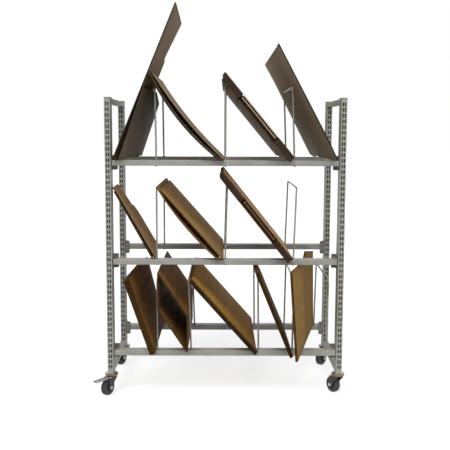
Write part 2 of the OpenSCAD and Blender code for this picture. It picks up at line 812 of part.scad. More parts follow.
post_front_left();
post_front_right();
post_rear_left();
post_rear_right();
top_rails();
foot_rails();
post_caps();
foot_sockets();
beam_brackets();
beam_low_front();
beam_low_rear();
beam_mid_front();
beam_mid_rear();
beam_top_front();
beam_top_rear();
hoop_low_1();
hoop_low_2();
hoop_low_3();
hoop_low_4();
hoop_low_5();
hoop_mid_1();
hoop_mid_2();
hoop_mid_3();
hoop_top_1();
hoop_top_2();
hoop_top_3();
castor_stems();
dust_rings();
fork_front_left();
fork_front_right();
fork_rear_left();
fork_rear_right();
axle_front_left();
axle_front_right();
axle_rear_left();
axle_rear_right();
hub_front_left();
hub_front_right();
hub_rear_left();
hub_rear_right();
tyre_front_left();
tyre_front_right();
tyre_rear_left();
tyre_rear_right();
brake_pedal_front();
brake_pedal_rear();
sheet_top_tall();
sheet_top_short();
sheets_top_bent();
cartons_top();
sheets_top_wide();
sheet_mid_left();
carton_mid_open();
cartons_mid();
stack_low_left();
sleeve_low();
sheets_low_long();
bundle_low();
carton_low_tall();
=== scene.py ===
import math
import random

import bpy
import numpy as np
from mathutils import Matrix, Vector


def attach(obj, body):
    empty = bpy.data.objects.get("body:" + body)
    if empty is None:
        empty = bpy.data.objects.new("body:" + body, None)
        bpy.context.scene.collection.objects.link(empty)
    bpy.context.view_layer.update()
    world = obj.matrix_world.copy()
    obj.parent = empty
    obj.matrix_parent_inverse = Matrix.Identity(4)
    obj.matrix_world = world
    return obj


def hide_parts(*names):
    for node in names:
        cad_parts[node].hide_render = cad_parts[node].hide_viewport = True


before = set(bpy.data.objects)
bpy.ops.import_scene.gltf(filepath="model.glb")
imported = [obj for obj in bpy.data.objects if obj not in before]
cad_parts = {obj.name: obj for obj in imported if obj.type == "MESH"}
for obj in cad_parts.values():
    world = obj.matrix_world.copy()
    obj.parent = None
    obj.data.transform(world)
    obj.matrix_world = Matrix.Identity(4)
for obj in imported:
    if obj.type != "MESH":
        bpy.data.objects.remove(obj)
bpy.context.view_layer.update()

# The rack's own frame in mm: X from the rack's middle, Y from the posts' front faces, Z from the floor
PLACE_X = 26.0
PLACE_Y = -429.0

# Heights of the beams' middles at the three levels, and half a beam's height
LOW = 197.5
MID = 622.5
TOP = 1072.5
BEAM_HALF = 12.5

# Posts: their middles, inner sides, front and rear faces, and the height of their feet
POST_X = 526.5
INNER_X = 513.0
FACES = (0.0, 70.0, 480.0, 550.0)
POST_FOOT = 102.0

# Slots: size, distance of a column from the post's middle, first row over the foot, pitch and count
SLOT_W = 3.6
SLOT_H = 14.5
SLOT_COLUMN = 5.0
SLOT_START = 33.0
SLOT_PITCH = 25.0
SLOT_ROWS = 49

# Brackets: how far they reach in from the posts, and what stays clear beside them
BRACKET_REACH = 24.0
BRACKET_CLEAR = 0.6

# Hoops: pitch of their holes, height of the bar over the beam's middle, half the wire's thickness
HOLE_PITCH = 156.0
BAR = 338.5
ROD = 4.0

# Boards: thickness, gap to what they touch, step from one to the next in a bundle
BOARD = 5.0
GAP = 0.4
STEP = BOARD + GAP

# Corrugated board: liner, half the fluted sheet, pitch of the flutes, soiled rim and a stop within it
LINER = 0.5
CORE_HALF = 0.2
FLUTE = 7.8
SOILED = 26.0
SOILED_STOP = 9.0

# Points of a line up a board, and of the ring round a sleeve
LINE_POINTS = 160
RING_POINTS = 420

# Material slots of a load: liners, cut flutes, and what trims its edges or folds. The flutes are darkened
# partly as painted shade, dark trim on cut edges is painted shade, and light trim on folds is painted light
COAT, CORE, TRIM = 0, 1, 2


def metres(p):
    """Points in the rack's frame, in mm, as points of the scene."""
    p = np.asarray(p, dtype=float)
    return (p + np.array([PLACE_X, PLACE_Y, 0.0])) / 1000.0


def linear(r, g, b):
    """Colour written as it looks on a screen, 0 to 255, as the shader's linear values."""
    out = []
    for c in (r, g, b):
        c = c / 255.0
        out.append(c / 12.92 if c <= 0.04045 else ((c + 0.055) / 1.055) ** 2.4)
    return (*out, 1.0)


def grey(v):
    return (v, v, v, 1.0)


def dimmed(colour, share):
    return tuple(c * share for c in colour[:3]) + (1.0,)


# Materials
class NodeTree:
    """A node tree, with the few kinds of node that the materials here are made of."""

    def __init__(self, tree):
        self.nodes, self.links = tree.nodes, tree.links
        self.nodes.clear()

    def wire(self, value, socket):
        """Puts a number or a colour on the socket itself, and links anything else to it."""
        if isinstance(value, (int, float, tuple)):
            socket.default_value = value
        else:
            self.links.new(value, socket)

    def coords(self):
        return self.nodes.new("ShaderNodeTexCoord").outputs["Object"]

    def attribute(self, name):
        node = self.nodes.new("ShaderNodeAttribute")
        node.attribute_name = name
        return node.outputs["Fac"]

    def noise(self, vector, scale, detail, rough):
        node = self.nodes.new("ShaderNodeTexNoise")
        node.inputs["Scale"].default_value = scale
        node.inputs["Detail"].default_value = detail
        node.inputs["Roughness"].default_value = rough
        self.wire(vector, node.inputs["Vector"])
        return node.outputs["Fac"]

    def stretched(self, vector, scale):
        node = self.nodes.new("ShaderNodeMapping")
        node.inputs["Scale"].default_value = scale
        self.wire(vector, node.inputs["Vector"])
        return node.outputs["Vector"]

    def ramp(self, fac, low, high):
        """Colour that runs from one (place, colour) to another."""
        node = self.nodes.new("ShaderNodeValToRGB")
        for element, (at, colour) in zip(node.color_ramp.elements, (low, high)):
            element.position = at
            element.color = colour
        self.wire(fac, node.inputs["Fac"])
        return node.outputs["Color"]

    def mixed(self, fac, a, b, mode="MIX"):
        node = self.nodes.new("ShaderNodeMix")
        node.data_type = "RGBA"
        node.blend_type = mode
        self.wire(fac, node.inputs["Factor"])
        self.wire(a, node.inputs[6])
        self.wire(b, node.inputs[7])
        return node.outputs[2]

    def maths(self, op, a, b):
        node = self.nodes.new("ShaderNodeMath")
        node.operation = op
        self.wire(a, node.inputs[0])
        self.wire(b, node.inputs[1])
        return node.outputs[0]

    def bump(self, height, distance):
        node = self.nodes.new("ShaderNodeBump")
        node.inputs["Distance"].default_value = distance
        node.inputs["Strength"].default_value = 1.0
        self.wire(height, node.inputs["Height"])
        self.wire(node.outputs["Normal"], self.shader.inputs["Normal"])

    def looked_at(self):
        """1 for rays that come from the camera, straight, off a mirror or through glass."""
        path = self.nodes.new("ShaderNodeLightPath")
        some = self.maths("MAXIMUM", path.outputs["Is Camera Ray"], path.outputs["Is Glossy Ray"])
        return self.maths("MAXIMUM", some, path.outputs["Is Transmission Ray"])


def new_material(name):
    material = bpy.data.materials.new(name)
    material.use_nodes = True
    tree = NodeTree(material.node_tree)
    out = tree.nodes.new("ShaderNodeOutputMaterial")
    tree.shader = tree.nodes.new("ShaderNodeBsdfPrincipled")
    tree.wire(tree.shader.outputs["BSDF"], out.inputs["Surface"])
    return material, tree


def kraft(name, light, dark, edge=0.45):
    """Corrugated board's liner: washboard over the flutes, streaks along them, fibres, soiled rims and
    painted shade.
    """
    material, tree = new_material(name)
    uv = tree.nodes.new("ShaderNodeUVMap")
    uv.uv_map = "board"
    uv = uv.outputs["UV"]
    cloud = tree.noise(tree.coords(), 4.0, 4.0, 0.6)
    streak = tree.noise(tree.stretched(uv, (28.0, 1.6, 1.0)), 1.0, 5.0, 0.65)
    fibre = tree.noise(tree.stretched(uv, (900.0, 260.0, 1.0)), 1.0, 2.0, 0.6)
    blotch = tree.maths("ADD", tree.maths("MULTIPLY", cloud, 0.45), tree.maths("MULTIPLY", streak, 0.55))
    base = tree.ramp(blotch, (0.36, dark), (0.62, light))
    wave = tree.nodes.new("ShaderNodeTexWave")
    wave.inputs["Scale"].default_value = 2 * math.pi / (20 * FLUTE / 1000)
    wave.inputs["Distortion"].default_value = 0.0
    tree.wire(uv, wave.inputs["Vector"])
    wash = wave.outputs["Fac"]
    base = tree.mixed(0.06, base, tree.ramp(wash, (0.0, grey(0.55)), (1.0, grey(1.0))), "MULTIPLY")
    base = tree.mixed(0.12, base, tree.ramp(fibre, (0.3, grey(0.5)), (0.7, grey(1.0))), "MULTIPLY")
    spots = tree.noise(tree.coords(), 60.0, 4.0, 0.7)
    soil = tree.maths("MULTIPLY", tree.attribute("rim"), tree.maths("MULTIPLY", spots, edge * 1.6))
    base = tree.mixed(soil, base, dimmed(dark, 0.42))
    # Painted shade: the shade attribute darkens the board towards a dark tone, in place of shadow
    base = tree.mixed(tree.attribute("painted_shade"), base, dimmed(dark, 0.2))
    tree.wire(base, tree.shader.inputs["Base Color"])
    tree.wire(tree.ramp(cloud, (0.3, grey(0.72)), (0.7, grey(0.88))), tree.shader.inputs["Roughness"])
    tree.shader.inputs["Specular IOR Level"].default_value = 0.25
    height = tree.maths("ADD", tree.maths("MULTIPLY", wash, 0.85), tree.maths("MULTIPLY", fibre, 0.15))
    tree.bump(height, 0.00009)
    return material


def paint(name, light, dark, rough=0.42, grime=0.5, metallic=0.0, scale=9.0):
    """Powder-coated or galvanised steel: soft mottling, orange peel, rubbed and dirty patches."""
    material, tree = new_material(name)
    at = tree.coords()
    cloud = tree.noise(at, scale, 4.0, 0.6)
    fine = tree.noise(at, 240.0, 3.0, 0.6)
    scuff = tree.noise(tree.stretched(at, (30.0, 30.0, 160.0)), 1.0, 5.0, 0.7)
    base = tree.ramp(cloud, (0.34, dark), (0.66, light))
    marks = tree.ramp(scuff, (0.60, grey(0.0)), (0.74, grey(1.0)))
    base = tree.mixed(tree.maths("MULTIPLY", marks, grime), base, dimmed(dark, 0.55))
    base = tree.mixed(0.12, base, tree.ramp(fine, (0.3, grey(0.6)), (0.7, grey(1.0))), "MULTIPLY")
    tree.wire(base, tree.shader.inputs["Base Color"])
    dull = tree.ramp(scuff, (0.3, grey(rough - 0.08)), (0.75, grey(rough + 0.2)))
    tree.wire(dull, tree.shader.inputs["Roughness"])
    tree.shader.inputs["Metallic"].default_value = metallic
    tree.bump(fine, 0.00012)
    return material


def plastic(name, light, dark, rough=0.5, grain=500.0, depth=0.0001, shine=0.5):
    """Plastic, rubber, cut board or a dark inside: clouds of tone over a fine grain."""
    material, tree = new_material(name)
    at = tree.coords()
    cloud = tree.noise(at, 26.0, 4.0, 0.65)
    fine = tree.noise(at, grain, 2.0, 0.6)
    tree.wire(tree.ramp(cloud, (0.35, dark), (0.68, light)), tree.shader.inputs["Base Color"])
    dull = tree.ramp(cloud, (0.3, grey(rough - 0.1)), (0.7, grey(rough + 0.12)))
    tree.wire(dull, tree.shader.inputs["Roughness"])
    tree.shader.inputs["Specular IOR Level"].default_value = shine
    tree.bump(fine, depth)
    return material


def metal(name, light, dark, rough=0.3):
    """Bare zinc or copper with a cloudy finish."""
    material, tree = new_material(name)
    at = tree.coords()
    cloud = tree.noise(at, 30.0, 4.0, 0.65)
    fine = tree.noise(tree.stretched(at, (60.0, 60.0, 60.0)), 6.0, 3.0, 0.6)
    tree.wire(tree.ramp(cloud, (0.35, dark), (0.65, light)), tree.shader.inputs["Base Color"])
    tree.wire(tree.ramp(cloud, (0.3, grey(rough)), (0.7, grey(rough + 0.2))), tree.shader.inputs["Roughness"])
    tree.shader.inputs["Metallic"].default_value = 0.9
    tree.bump(fine, 0.00008)
    return material


def flutes(name, light, dark, rough=0.85):
    return plastic(name, light, dark, rough=rough, grain=300.0, depth=0.00005, shine=0.1)


STEEL = paint("rack_paint", linear(176, 176, 168), linear(157, 157, 148))
RAIL = paint("beam_paint", linear(174, 173, 165), linear(155, 154, 146), rough=0.38, grime=0.6)
# Brackets: the beams' paint made darker, as painted shade where they sit behind and under the beams
BRACKET_SHADED = paint("bracket_painted_shade", linear(140, 141, 132), linear(118, 119, 111), rough=0.42)
SHADE_DARK = plastic("painted_shade_dark", linear(40, 42, 38), linear(26, 28, 25), rough=0.8, shine=0.1)
SLOT_EDGE = plastic("slot_edge", linear(72, 74, 69), linear(48, 50, 46), rough=0.6, shine=0.2)
# Dark cut edges and flutes of the boards, and dark strips in a slit and along folds: painted shade
CUT_SHADE = plastic("cut_edge_painted_shade", linear(52, 43, 32), linear(32, 26, 19), rough=0.85, grain=900.0, shine=0.05)
PLATE = metal("pedal_zinc", linear(176, 178, 174), linear(140, 142, 138), rough=0.42)
CAP = plastic("cap_plastic", linear(128, 128, 120), linear(108, 108, 101))
WIRE = paint("hoop_wire", linear(172, 170, 160), linear(140, 138, 128), rough=0.34, grime=0.7,
             metallic=0.35, scale=22.0)
ZINC = metal("zinc", linear(214, 216, 214), linear(176, 178, 176), rough=0.26)
COPPER = metal("copper_ring", linear(164, 124, 96), linear(124, 92, 70), rough=0.34)
FORK = paint("fork_black", linear(44, 47, 50), linear(26, 28, 30), rough=0.34, grime=0.3)
RUBBER = plastic("tyre_rubber", linear(62, 64, 67), linear(44, 46, 49), rough=0.62, grain=900.0, depth=0.0002)
HUB = plastic("hub_plastic", linear(96, 99, 102), linear(66, 69, 72), rough=0.42)
# Kraft tones of the loads. The grey of kraft_grey, on the top level's sheets seen from below, is partly
# painted shade
KRAFT_DUN = kraft("kraft_dun", linear(206, 168, 118), linear(176, 142, 96))
KRAFT_TAN = kraft("kraft_tan", linear(206, 163, 92), linear(170, 128, 62))
KRAFT_GOLD = kraft("kraft_gold", linear(176, 136, 66), linear(142, 104, 44))
KRAFT_LONG = kraft("kraft_long", linear(201, 151, 61), linear(162, 115, 41))
KRAFT_BROWN = kraft("kraft_brown", linear(146, 104, 42), linear(100, 67, 23))
KRAFT_GREY = kraft("kraft_grey", linear(158, 136, 108), linear(132, 112, 88))
KRAFT_WIDE = kraft("kraft_wide", linear(190, 172, 142), linear(158, 141, 114))
KRAFT_RED = kraft("kraft_red", linear(122, 98, 76), linear(90, 68, 52))
KRAFT_RUST = kraft("kraft_rust", linear(112, 78, 50), linear(78, 52, 33))
KRAFT_PALE = kraft("kraft_pale", linear(196, 170, 132), linear(172, 146, 110), edge=0.15)
# Folds: lighter copies of the kraft, painted light on the rounded folds; the dim one is a less lit copy for
# the middle level
FOLD_LIGHT = kraft("kraft_folds_painted_light", linear(236, 208, 168), linear(212, 182, 142), edge=0.1)
FOLD_LIGHT_DIM = kraft("kraft_folds_painted_light_dim", linear(220, 174, 126), linear(186, 140, 98), edge=0.1)
# Flutes: darker than the liners, partly the fluting's own tone and partly painted shade inside the board
CORE_DUN = flutes("flutes_dun", linear(112, 96, 78), linear(84, 70, 56))
CORE_DARK = flutes("flutes_dark", linear(72, 58, 46), linear(48, 38, 29), rough=0.9)
CORE_TAN = flutes("flutes_tan", linear(118, 88, 54), linear(86, 62, 36))


# Boards
def resampled(p, count):
    """The line through the (x, z) points p as points an equal way apart, and its length."""
    way = np.concatenate([[0], np.cumsum(np.linalg.norm(np.diff(p, axis=0), axis=1))])
    at = np.linspace(0, way[-1], count)
    return np.column_stack([np.interp(at, way, p[:, 0]), np.interp(at, way, p[:, 1])]), way[-1]


def ring_line(points):
    return resampled(points, RING_POINTS)


def smooth_line(points):
    """A smooth line through a few (x, z) points, and its length. Two points give a straight line."""
    p = np.array(points, dtype=float)
    if len(p) > 2:
        ends = np.vstack([2 * p[0] - p[1], p, 2 * p[-1] - p[-2]])
        dense = []
        for i in range(len(p) - 1):
            a, b, c, d = ends[i:i + 4]
            u = np.linspace(0, 1, 24, endpoint=False)[:, None]
            square = (2 * a - 5 * b + 4 * c - d) * u ** 2
            cube = (3 * b - a - 3 * c + d) * u ** 3
            dense.append(0.5 * (2 * b + (c - a) * u + square + cube))
        p = np.vstack(dense + [p[-1:]])
    return resampled(p, LINE_POINTS)


class Leaf:
    """A surface through lines at a few depths. s runs up the board, t to its rear, w to its right-hand side.
    With reach, the front line eases into the rear one over that depth."""

    def __init__(self, front, rear, y0, y1, reach=None, between=(), trace=smooth_line):
        self.y0, self.depth = y0, y1 - y0
        self.marks = [0.0] + [t for t, _ in between] + [reach or self.depth]
        self.lines, lengths = zip(*(trace(p) for p in [front] + [q for _, q in between] + [rear]))
        self.length = lengths[0]
        self.soft = bool(reach)

    def line(self, pts, u):
        k = np.linspace(0, 1, len(pts))
        u = np.clip(u, 0, 1)
        d = np.gradient(pts, axis=0)
        d /= np.linalg.norm(d, axis=1)[:, None]
        return np.stack([np.interp(u, k, c) for c in (pts[:, 0], pts[:, 1], d[:, 0], d[:, 1])])

    def at(self, s, t, w):
        u = s / self.length
        over = s - np.clip(s, 0, self.length)
        step = np.interp(t, self.marks, np.arange(len(self.marks)))
        if self.soft:
            f = step - np.floor(step)
            step = np.floor(step) + f * f * (3 - 2 * f)
        near = [self.line(p, u) * np.clip(1 - abs(step - k), 0, 1) for k, p in enumerate(self.lines)]
        x, z, dx, dz = sum(near)
        n = np.sqrt(dx * dx + dz * dz)
        dx, dz = dx / n, dz / n
        return np.stack([x + dx * over + dz * w, self.y0 + t + 0 * x, z + dz * over - dx * w], axis=-1)


class Maker:
    """Collects closed slabs and turns them into one mesh object, with painted shade: a darkness at (s, t),
    given by a function, that stands in for shadow.
    """

    def __init__(self, painted_shade=None):
        self.points, self.faces, self.slots, self.uvs, self.rims, self.painted_shades = [], [], [], [], [], []
        self.count = 0
        self.painted_shade = painted_shade

    def grid(self, place, s, t, low, high, slot, turned=False, reach=None, far=None, rim_slot=None):
        """A closed slab over the grid s by t, between the heights low and high (numbers or arrays).
        far gives (s, t) points of an outline that cuts the rear edge."""
        n, m = len(s), len(t)
        S, T = np.meshgrid(s, t, indexing="ij")
        if far:
            end = np.interp(S, [a for a, _ in far], [b for _, b in far])
            T = t[0] + (T - t[0]) * (end - t[0]) / (t[-1] - t[0])
        low = np.broadcast_to(np.asarray(low, dtype=float), S.shape)
        high = np.broadcast_to(np.asarray(high, dtype=float), S.shape)
        both = np.concatenate([place(S, T, low).reshape(-1, 3), place(S, T, high).reshape(-1, 3)])
        base = self.count
        self.points.append(metres(both))
        self.count += len(both)
        uv = np.stack([T, S] if turned else [S, T], axis=-1).reshape(-1, 2) / 1000.0
        self.uvs.append(np.concatenate([uv, uv]))
        rim = self.rim(S, T, *reach) if reach else np.zeros(n * m)
        self.rims.append(np.concatenate([rim, rim]))
        # Painted shade for each point, kept in a mesh attribute that darkens the kraft
        tone = self.painted_shade(S, T) if self.painted_shade else 0 * S
        self.painted_shades.append(np.clip(np.concatenate([tone.reshape(-1)] * 2), 0, 1))
        self.close(base, n, m, slot, slot if rim_slot is None else rim_slot)

    def rim(self, S, T, s0, s1, t0, t1):
        """1 at the board's edges, falling to 0 where its soiled rim ends."""
        away = np.minimum(np.minimum(S - s0, s1 - S), np.minimum(T - t0, t1 - T)).reshape(-1)
        return np.clip(1 - away / SOILED, 0, 1)

    def close(self, base, n, m, slot, edge):
        """Faces of a slab: its two sides in one material slot, its four edges in another."""
        top = n * m

        def add(*ids, slot=slot):
            self.faces.append([base + i for i in ids])
            self.slots.append(slot)

        for i in range(n - 1):
            for j in range(m - 1):
                a, b, c, d = i * m + j, (i + 1) * m + j, (i + 1) * m + j + 1, i * m + j + 1
                add(a, d, c, b)
                add(top + a, top + b, top + c, top + d)
        for i in range(n - 1):
            a, b = i * m, (i + 1) * m
            add(a, b, top + b, top + a, slot=edge)
            a, b = i * m + m - 1, (i + 1) * m + m - 1
            add(b, a, top + a, top + b, slot=edge)
        for j in range(m - 1):
            a, b = j, j + 1
            add(b, a, top + a, top + b, slot=edge)
            a, b = (n - 1) * m + j, (n - 1) * m + j + 1
            add(a, b, top + b, top + a, slot=edge)

    def build(self, name, materials, body, nodes, smooth=True):
        mesh = bpy.data.meshes.new(name)
        pts = np.concatenate(self.points)
        mesh.from_pydata([tuple(p) for p in pts], [], self.faces)
        for material in materials:
            mesh.materials.append(material)
        mesh.polygons.foreach_set("material_index", self.slots)
        uvs = np.concatenate(self.uvs)
        layer = mesh.uv_layers.new(name="board")
        loops = np.zeros(len(mesh.loops), dtype=np.int32)
        mesh.loops.foreach_get("vertex_index", loops)
        layer.data.foreach_set("uv", uvs[loops].reshape(-1))
        # rim marks the soiled edges; the other attribute holds the painted shade
        for label, values in (("rim", self.rims), ("painted_shade", self.painted_shades)):
            layer = mesh.attributes.new(label, "FLOAT", "POINT")
            layer.data.foreach_set("value", np.concatenate(values))
        mesh.update()
        if smooth:
            mesh.polygons.foreach_set("use_smooth", [True] * len(mesh.polygons))
            mesh.set_sharp_from_angle(angle=math.radians(38))
        o = bpy.data.objects.new(name, mesh)
        bpy.context.scene.collection.objects.link(o)
        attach(o, body)
        if nodes:
            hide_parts(*nodes)


def stops(a, b, step, extra=()):
    """Even stops from a to b, at most a step apart, and the extra ones that lie between."""
    n = max(1, int(math.ceil((b - a) / step)))
    out = set(np.round(np.linspace(a, b, n + 1), 3))
    for e in extra:
        if a < e < b:
            out.add(round(e, 3))
    return np.array(sorted(out))


def sheet(maker, leaf, w, s0, s1, t0, t1, flute="t", coat=COAT, step_s=30.0, step_t=120.0, far=None,
          rim=None):
    """One corrugated panel: two liners and the fluted sheet between them. The flutes run to the board's
    rear with flute "t" and up the board with flute "s"."""
    half = BOARD / 2
    cuts = [a for a, _ in far or ()]
    near_s = [s0 + SOILED_STOP, s1 - SOILED_STOP, s0 + SOILED, s1 - SOILED]
    near_t = [t0 + SOILED_STOP, t1 - SOILED_STOP, t0 + SOILED, t1 - SOILED]
    s = stops(s0, s1, step_s, near_s + cuts)
    t = stops(t0, t1, step_t, near_t + leaf.marks)
    reach = (s0, s1, t0, t1)
    for low, high in ((w - half, w - half + LINER), (w + half - LINER, w + half)):
        maker.grid(leaf.at, s, t, low, high, coat, flute == "s", reach, far, rim)
    swing = half - LINER
    if flute == "t":
        s = stops(s0 + 0.4, s1 - 0.4, FLUTE / 6)
        t = stops(t0 + 0.6, t1 - 0.6, 240.0, leaf.marks)
        wave = swing * np.cos(2 * math.pi * s / FLUTE)[:, None]
    else:
        s = stops(s0 + 0.6, s1 - 0.6, step_s if step_s < 30 else 60.0, cuts)
        t = stops(t0 + 0.4, t1 - 0.4, FLUTE / 6)
        wave = swing * np.cos(2 * math.pi * t / FLUTE)[None, :]
    maker.grid(leaf.at, s, t, w + wave - CORE_HALF, w + wave + CORE_HALF, CORE, flute == "s", None, far)


def cut_front_shade(maker, leaf, w, s0, s1, t, slot):
    """Dark strip through the flutes at a board's front edge: painted shade inside the cut flutes."""
    half = BOARD / 2 - LINER + 0.05
    begin, end = t + 0.15, t + 2.5
    maker.grid(leaf.at, stops(s0 + 1, s1 - 1, 18.0), np.array([begin, end]), w - half, w + half, slot)


def crease(maker, leaf, w, s0, s1, t0, t1, coat):
    """Scored strip between two panels, pressed flat."""
    press = 1.1
    maker.grid(leaf.at, stops(s0, s1, 40.0), stops(t0, t1, 120.0), w - press, w + press, coat)


def fold_edge(maker, leaf, w, s0, s1, t):
    """Rounded edge of a folded board, looking to the front, in the trim slot: lighter than the board, as
    painted light.
    """
    half = 1.9
    steps = 6
    angle = [math.pi / 2 - math.pi * i / steps for i in range(steps + 1)]
    s = stops(s0, s1, 40.0)
    for a, b in zip(angle[:-1], angle[1:]):

        def place(S, T, W, a=a, b=b):
            forward = half * (math.cos(a) * (1 - T) + math.cos(b) * T) * W
            aside = half * (math.sin(a) * (1 - T) + math.sin(b) * T) * W
            return leaf.at(S, t - forward, w + aside)
        maker.grid(place, s, np.array([0.0, 1.0]), 0.8, 1.0, TRIM)


def carton(maker, leaf, w, s0, s1, t0, t1, flap, cuts, back, coat=COAT):
    """Flattened carton layer: a body, and flaps at the front and rear with slots between them.
    back says how far each front flap lies behind the layer's front."""
    marks = [s0] + list(cuts) + [s1]
    body0, body1 = t0 + flap + 1.5, t1 - flap - 1.5
    sheet(maker, leaf, w, s0, s1, body0, body1, coat=coat)
    for i, (a, b) in enumerate(zip(marks[:-1], marks[1:])):
        a += 3 if i else 0.5
        b -= 3 if i < len(marks) - 2 else 0.5
        front, rear = t0 + back[i], t1 - back[i] * 0.3
        sheet(maker, leaf, w, a, b, front, body0 - 3, coat=coat)
        cut_front_shade(maker, leaf, w, a, b, front, CORE)
        crease(maker, leaf, w, a + 1, b - 1, body0 - 3, body0, coat)
        sheet(maker, leaf, w, a, b, body1 + 3, rear, coat=coat)
        crease(maker, leaf, w, a + 1, b - 1, body1, body1 + 3, coat)


# Lines up a board, as (x, z) points from its foot
def beam_top(level):
    return level + BEAM_HALF + GAP


def lean_line(foot, level, lean, length):
    """Line that leans to the left."""
    a = math.radians(lean)
    z = beam_top(level)
    return [(foot, z), (foot - length * math.sin(a), z + length * math.cos(a))]


def right_line(foot, lean, length):
    """Line that leans to the right."""
    a = math.radians(lean)
    return [foot, (foot[0] + length * math.sin(a), foot[1] + length * math.cos(a))]


def hanging(line, dx, dz):
    """Line of a board's front edge whose foot hangs over the beam."""
    (x, z), tip = line
    return [(x + dx, z + dz), tip]


def shifted(line, dx):
    return [(x + dx, z) for x, z in line]


def bar_at(level, hole, lean):
    """Middle of a hoop's upper bar."""
    a = math.radians(lean)
    return hole * HOLE_PITCH + BAR * math.sin(a), level + BAR * math.cos(a)


def on_bar(bar, angle):
    """Point beside a bar that a board's face may touch."""
    a = math.radians(angle)
    return bar[0] + (ROD + GAP) * math.cos(a), bar[1] + (ROD + GAP) * math.sin(a)


def rest_lean(foot, level, bar):
    """Lean of a board that stands at foot and rests on a bar to its left."""
    dx, dz = foot - bar[0], bar[1] - level - BEAM_HALF - GAP
    return math.degrees(math.acos((ROD + GAP) / math.hypot(dx, dz)) - math.atan2(dz, dx))


def arc_line(a, b, sag, over, inset=0.0):
    """Line that starts at a, passes b bent by sag, and goes on over by over mm."""
    count = 24
    a, b = np.array(a), np.array(b)
    way = b - a
    size = np.linalg.norm(way)
    radius = (size ** 2 / 4 + sag ** 2) / (2 * sag)
    left = np.array([-way[1], way[0]]) / size
    centre = (a + b) / 2 + left * (sag - radius)
    start = math.atan2(*(a - centre)[::-1])
    end = math.atan2(*(b - centre)[::-1]) - over / radius
    turn = (start - end) % (2 * math.pi)
    angles = [start - turn * i / count for i in range(count + 1)]
    return [tuple(centre + (radius - inset) * np.array([math.cos(q), math.sin(q)])) for q in angles]


def layer(i):
    """Middle of sheet number i of a bundle, over the bundle's underside."""
    return i * STEP + BOARD / 2


random.seed(7)


def jitter(size):
    return random.uniform(-size, size)


# Top level, from the left
SHEETS_FRONT = -26.0
BENT_FOOT = (-29.0, beam_top(TOP))
BENT_REST = on_bar(bar_at(TOP, -2, -0.7), 31)
BENT_SAG = 22.0
BENT_OVER = 61.0
BENT_DEPTH = 650.0


def bent_sheets():
    """Two sheets bent over the first hoop, and a third that gapes from them."""
    maker = Maker()
    rear = SHEETS_FRONT + BENT_DEPTH
    for i in range(2):
        line = arc_line(BENT_FOOT, BENT_REST, BENT_SAG, BENT_OVER - 3 * i, i * STEP + BOARD / 2)
        leaf = Leaf(line, line, SHEETS_FRONT, rear)
        trim = None if i else CORE
        sheet(maker, leaf, 0.0, 0.0, leaf.length, 2.0 * i, leaf.depth - 3 * i, step_s=18.0, rim=trim)
        cut_front_shade(maker, leaf, 0.0, 0.0, leaf.length, 2.0 * i, CORE)
    tip = arc_line(BENT_FOOT, BENT_REST, BENT_SAG, BENT_OVER - 4, 2 * STEP + 0.4)[-1]
    line = arc_line((BENT_FOOT[0] + 18.5, BENT_FOOT[1]), tip, 17.0, 0.0, BOARD / 2)
    leaf = Leaf(line, line, SHEETS_FRONT, rear)
    sheet(maker, leaf, 0.0, 0.0, leaf.length, 0.0, leaf.depth, step_s=18.0, rim=CORE)
    cut_front_shade(maker, leaf, 0.0, 0.0, leaf.length, 0.0, CORE)
    maker.build("bent_sheets", [KRAFT_PALE, CUT_SHADE], "load_sheets_top_bent", ["sheets_top_bent"])


TALL_FOOT = (-INNER_X + BRACKET_REACH + BRACKET_CLEAR + BOARD, beam_top(TOP))
TALL_DEPTH = 566.0


def tall_lean():
    """Lean of the tall sheet, which clears the bent sheets' tip by the gap."""
    tip = arc_line(BENT_FOOT, BENT_REST, BENT_SAG, BENT_OVER)[-1]
    v = (tip[0] - TALL_FOOT[0], tip[1] - TALL_FOOT[1])
    return abs(math.degrees(math.atan2(v[0], v[1]))) - math.degrees(math.asin(GAP / math.hypot(*v)))


def tall_sheet():
    """Tall sheet with a flared front edge, torn at the rear."""
    flare = 84.0
    front = [(-500.0, TALL_FOOT[1]), (-342.0, 1467.0), (-217.0, 1768.0)]
    rear = [TALL_FOOT, (-341.2, 1467.0), (-211.5, 1757.0)]
    torn = [(0, TALL_DEPTH), (410, 530), (512, 514), (526, 440), (716, 505), (724, 500), (739, 12)]
    leaf = Leaf(front, rear, SHEETS_FRONT, SHEETS_FRONT + TALL_DEPTH, reach=flare)
    # Painted shade: darker over the lower part of the sheet
    maker = Maker(painted_shade=lambda s, t: 0.5 * np.clip((520 - s) / 200, 0, 1))
    cut_front_shade(maker, leaf, -BOARD / 2, 0.0, leaf.length, 0.0, TRIM)
    sheet(maker, leaf, -BOARD / 2, 0.0, leaf.length, 0.0, leaf.depth, flute="s", step_s=40.0, step_t=28.0,
          rim=TRIM, far=torn)
    maker.build("tall_sheet", [KRAFT_GREY, CORE_DUN, CUT_SHADE], "load_sheet_top_tall", ["sheet_top_tall"])


def short_sheet_painted_shade(s, t):
    """Painted shade of the short sheet: darker up the board, least in the front corner at its foot."""
    low = np.clip(1 - s / 180, 0, 1)
    return 0.25 + 0.5 * np.clip(s / 180, 0, 1) + 0.25 * np.clip(t / 200, 0, 1) * low


